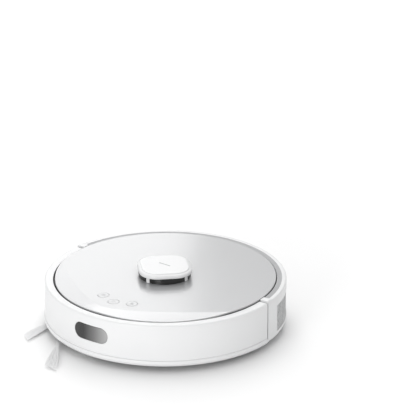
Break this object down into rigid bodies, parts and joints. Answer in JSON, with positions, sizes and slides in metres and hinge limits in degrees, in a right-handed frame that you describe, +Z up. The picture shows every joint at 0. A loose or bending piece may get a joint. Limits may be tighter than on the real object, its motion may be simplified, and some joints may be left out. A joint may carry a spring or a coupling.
{
  "type": "robot vacuum",
  "caption": "Low round robot vacuum with a laser turret, sprung front bumper, side brush, roller brush, sprung drive wheels, front caster and a dust bin that slides out of the rear.",
  "frame": {"origin": "middle of the whole footprint, side brush included, on the floor; the round body's axis is at (0, 0.0252) m", "axes": "+Z up; -Y is the robot's forward direction; +X is its left"},
  "size_m": [0.3428, 0.3904, 0.091],
  "materials": {
    "white_plastic": "satin gloss moulded",
    "pearl_cover": "pearl silver satin",
    "black_window": "tinted, polished",
    "dark_plastic": "fine texture",
    "grey_plastic": "fine texture",
    "rubber": "matte",
    "bristle": "nylon filament",
    "steel": "satin",
    "battery_wrap": "shrink film",
    "circuit_board": "solder mask",
    "filter_paper": "pleated paper"
  },
  "bodies": {
    "base": {"chassis_base": "dark_plastic", "tray_wall": "dark_plastic", "rear_body": "white_plastic", "top_cover": "pearl_cover", "side_grille_left": "grey_plastic", "side_grille_right": "grey_plastic", "turret_base": "white_plastic", "turret_window": "black_window", "turret_cap": "white_plastic", "lidar_motor": "steel", "side_brush_motor": "steel", "brush_guard": "grey_plastic", "brush_chamber": "dark_plastic", "roller_bearing_left": "white_plastic", "roller_bearing_right": "white_plastic", "main_brush_motor": "steel", "wheel_housing_left": "dark_plastic", "wheel_housing_right": "dark_plastic", "suspension_spring_left": "steel", "suspension_spring_right": "steel", "caster_socket": "dark_plastic", "battery_pack": "battery_wrap", "battery_door": "dark_plastic", "main_board": "circuit_board", "fan_housing": "dark_plastic", "charge_contact_left": "steel", "charge_contact_right": "steel", "cliff_window_1": "black_window", "cliff_window_2": "black_window", "cliff_window_3": "black_window", "cliff_window_4": "black_window"},
    "bumper": {"bumper": "white_plastic", "bumper_window": "black_window"},
    "home_button": {"home_button": "pearl_cover"},
    "power_button": {"power_button": "pearl_cover"},
    "spot_button": {"spot_button": "pearl_cover"},
    "lidar_rotor": {"lidar_rotor": "dark_plastic"},
    "side_brush": {"side_brush_hub": "white_plastic", "side_brush_bristle_1": "bristle", "side_brush_bristle_2": "bristle", "side_brush_bristle_3": "bristle", "side_brush_bristle_4": "bristle", "side_brush_bristle_5": "bristle"},
    "main_brush": {"main_brush_core": "grey_plastic", "main_brush_sleeve": "rubber"},
    "wheel_arm_left": {"wheel_gearbox_left": "dark_plastic"},
    "wheel_arm_right": {"wheel_gearbox_right": "dark_plastic"},
    "wheel_left": {"wheel_hub_left": "grey_plastic", "wheel_tyre_left": "rubber"},
    "wheel_right": {"wheel_hub_right": "grey_plastic", "wheel_tyre_right": "rubber"},
    "caster": {"caster_fork": "grey_plastic"},
    "caster_wheel": {"caster_wheel": "dark_plastic"},
    "fan": {"fan_impeller": "grey_plastic"},
    "dust_bin": {"dust_bin": "grey_plastic", "bin_lid": "grey_plastic", "bin_filter": "filter_paper"},
    "bin_button": {"bin_release_button": "dark_plastic"},
    "inlet_flap": {"inlet_flap": "rubber"},
    "evac_flap": {"evac_flap": "rubber"}
  },
  "joints": [
    {"name": "bumper_press", "type": "slide", "parent": "base", "child": "bumper", "axis": [0, 1, 0], "range_m": [0, 0.0022], "stiffness_N_per_m": 600, "springref_m": -0.001},
    {"name": "home_press", "type": "slide", "parent": "base", "child": "home_button", "axis": [0, 0, -1], "range_m": [0, 0.0008], "stiffness_N_per_m": 900, "springref_m": -0.0005},
    {"name": "power_press", "type": "slide", "parent": "base", "child": "power_button", "axis": [0, 0, -1], "range_m": [0, 0.0008], "stiffness_N_per_m": 900, "springref_m": -0.0005},
    {"name": "spot_press", "type": "slide", "parent": "base", "child": "spot_button", "axis": [0, 0, -1], "range_m": [0, 0.0008], "stiffness_N_per_m": 900, "springref_m": -0.0005},
    {"name": "lidar_spin", "type": "hinge", "parent": "base", "child": "lidar_rotor", "pos_m": [0, 0.02518, 0.063], "axis": [0, 0, 1], "continuous": true},
    {"name": "side_brush_spin", "type": "hinge", "parent": "base", "child": "side_brush", "pos_m": [-0.0524, -0.08922, 0.007], "axis": [0, 0, 1], "continuous": true, "deforming": ["side_brush_bristle_1", "side_brush_bristle_2", "side_brush_bristle_3", "side_brush_bristle_4", "side_brush_bristle_5"]},
    {"name": "main_brush_spin", "type": "hinge", "parent": "base", "child": "main_brush", "pos_m": [0, 0.03018, 0.019], "axis": [1, 0, 0], "continuous": true},
    {"name": "suspension_left", "type": "hinge", "parent": "base", "child": "wheel_arm_left", "pos_m": [0.094, -0.00482, 0.038], "axis": [-1, 0, 0], "range_deg": [0, 20], "stiffness_Nm_per_rad": 0.15, "springref_deg": 40.11, "deforming": ["suspension_spring_left"]},
    {"name": "wheel_spin_left", "type": "hinge", "parent": "wheel_arm_left", "child": "wheel_left", "pos_m": [0.118, 0.04518, 0.032], "axis": [1, 0, 0], "continuous": true},
    {"name": "suspension_right", "type": "hinge", "parent": "base", "child": "wheel_arm_right", "pos_m": [-0.094, -0.00482, 0.038], "axis": [-1, 0, 0], "range_deg": [0, 20], "stiffness_Nm_per_rad": 0.15, "springref_deg": 40.11, "deforming": ["suspension_spring_right"]},
    {"name": "wheel_spin_right", "type": "hinge", "parent": "wheel_arm_right", "child": "wheel_right", "pos_m": [-0.118, 0.04518, 0.032], "axis": [1, 0, 0], "continuous": true},
    {"name": "caster_swivel", "type": "hinge", "parent": "base", "child": "caster", "pos_m": [0, -0.07282, 0.02], "axis": [0, 0, 1], "continuous": true},
    {"name": "caster_spin", "type": "hinge", "parent": "caster", "child": "caster_wheel", "pos_m": [0, -0.06982, 0.01], "axis": [1, 0, 0], "continuous": true},
    {"name": "fan_spin", "type": "hinge", "parent": "base", "child": "fan", "pos_m": [-0.092, 0.11418, 0.03], "axis": [0, 0, 1], "continuous": true},
    {"name": "bin_slide", "type": "slide", "parent": "base", "child": "dust_bin", "axis": [0, 1, 0], "range_m": [0, 0.125]},
    {"name": "bin_button_press", "type": "slide", "parent": "dust_bin", "child": "bin_button", "axis": [0, -1, 0], "range_m": [0, 0.002], "stiffness_N_per_m": 500, "springref_m": -0.001},
    {"name": "inlet_flap_swing", "type": "hinge", "parent": "dust_bin", "child": "inlet_flap", "pos_m": [0, 0.09468, 0.047], "axis": [1, 0, 0], "range_deg": [0, 60], "stiffness_Nm_per_rad": 0.004, "springref_deg": -17.19},
    {"name": "evac_flap_swing", "type": "hinge", "parent": "dust_bin", "child": "evac_flap", "pos_m": [0.034, 0.17008, 0.047], "axis": [-1, 0, 0], "range_deg": [0, 60], "stiffness_Nm_per_rad": 0.004, "springref_deg": -17.19}
  ]
}
